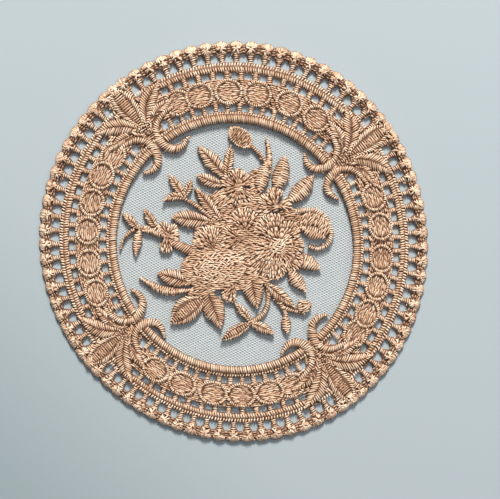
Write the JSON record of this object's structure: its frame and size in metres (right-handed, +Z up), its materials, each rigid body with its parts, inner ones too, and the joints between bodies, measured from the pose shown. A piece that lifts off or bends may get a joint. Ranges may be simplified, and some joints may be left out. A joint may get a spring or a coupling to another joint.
{
  "type": "lace coaster",
  "caption": "Round embroidered lace coaster: openwork rim with small round heads, medallions and leaf sprays about a disc of net that carries a bouquet.",
  "frame": {"origin": "middle of the outline on the surface that the coaster lies on", "axes": "+Z up out of the cloth, +Y towards the bud at the top of the bouquet, +X to the right seen from above"},
  "size_m": [0.1186, 0.1222, 0.0023],
  "materials": {
    "thread": "rose beige satin thread",
    "net": "fine pale net"
  },
  "bodies": {
    "root": {"lace_rim": "thread", "net_ground": "net", "bouquet": "thread"}
  },
  "joints": []
}
